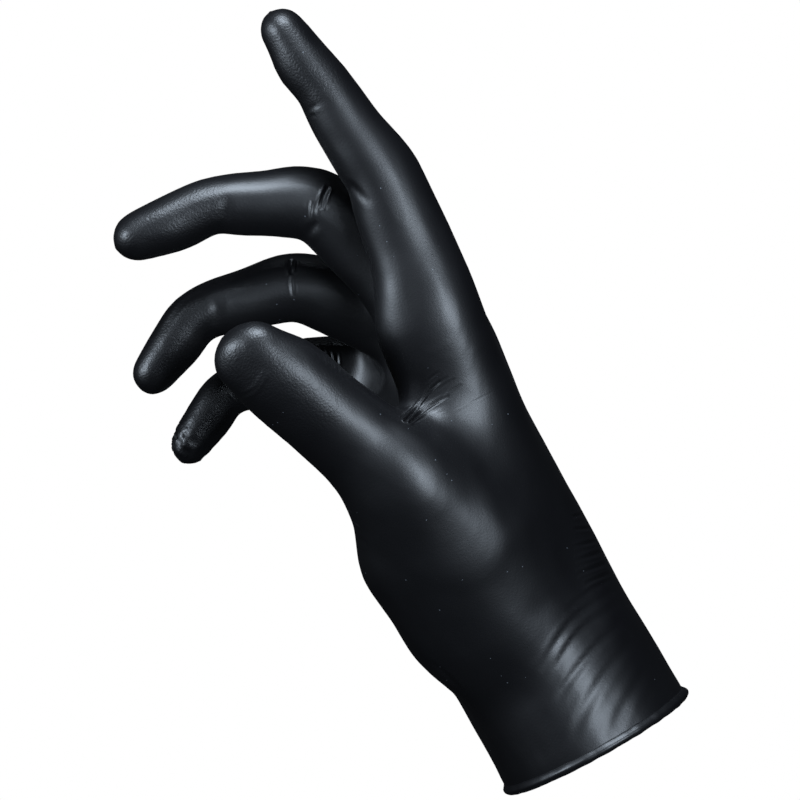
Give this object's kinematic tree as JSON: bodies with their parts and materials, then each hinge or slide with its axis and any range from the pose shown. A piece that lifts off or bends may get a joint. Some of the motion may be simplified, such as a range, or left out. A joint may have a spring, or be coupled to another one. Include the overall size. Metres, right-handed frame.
{
  "type": "nitrile exam glove",
  "caption": "Black nitrile exam glove for the right hand in its worn form, index finger straight and the others curled, hollow, with a rolled bead at the cuff.",
  "frame": {"origin": "centre of the cuff's mouth, in the plane of its edge, where the wrist goes in", "axes": "+Z from the cuff towards the fingertips, +X the back of the hand, -X the palm, -Y the thumb side"},
  "size_m": [0.102, 0.1008, 0.225],
  "materials": {
    "nitrile": "satin black dipped nitrile film with finely textured fingertips"
  },
  "bodies": {
    "root": {"glove": "nitrile"}
  },
  "joints": []
}
